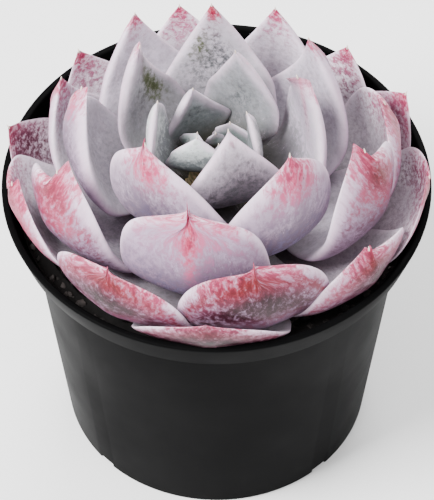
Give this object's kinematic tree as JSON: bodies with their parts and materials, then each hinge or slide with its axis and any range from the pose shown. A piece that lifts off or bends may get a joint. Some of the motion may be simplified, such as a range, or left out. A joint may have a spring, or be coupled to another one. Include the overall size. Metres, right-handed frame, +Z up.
{
  "type": "potted succulent",
  "caption": "Rosette succulent with thick powdery leaves spiralling round a short leaning stem, in a tapered round black plastic nursery pot with a stepped rim band.",
  "frame": {"origin": "middle of the pot's foot, on the surface that it stands on", "axes": "+Z up along the pot's axis; -Y is the front; the rosette leans a little towards +Y and -X"},
  "size_m": [0.108, 0.108, 0.115],
  "materials": {
    "pot": "satin",
    "soil": "matte",
    "stem": "matte",
    "young_leaf": "matte",
    "middle_leaf": "matte",
    "old_leaf": "matte"
  },
  "bodies": {
    "root": {"pot": "pot", "soil": "soil", "stem": "stem", "leaf_01": "young_leaf", "leaf_02": "young_leaf", "leaf_03": "young_leaf", "leaf_04": "young_leaf", "leaf_05": "young_leaf", "leaf_06": "young_leaf", "leaf_07": "young_leaf", "leaf_08": "young_leaf", "leaf_09": "middle_leaf", "leaf_10": "middle_leaf", "leaf_11": "middle_leaf", "leaf_12": "middle_leaf", "leaf_13": "middle_leaf", "leaf_14": "middle_leaf", "leaf_15": "middle_leaf", "leaf_16": "middle_leaf", "leaf_17": "middle_leaf", "leaf_18": "middle_leaf", "leaf_19": "middle_leaf", "leaf_20": "middle_leaf", "leaf_21": "old_leaf", "leaf_22": "old_leaf", "leaf_23": "old_leaf", "leaf_24": "old_leaf", "leaf_25": "old_leaf", "leaf_26": "old_leaf", "leaf_27": "old_leaf", "leaf_28": "old_leaf", "leaf_29": "old_leaf", "leaf_30": "old_leaf", "leaf_31": "old_leaf", "leaf_32": "old_leaf", "leaf_33": "old_leaf", "leaf_34": "old_leaf", "leaf_38": "old_leaf", "leaf_39": "old_leaf"}
  },
  "joints": []
}
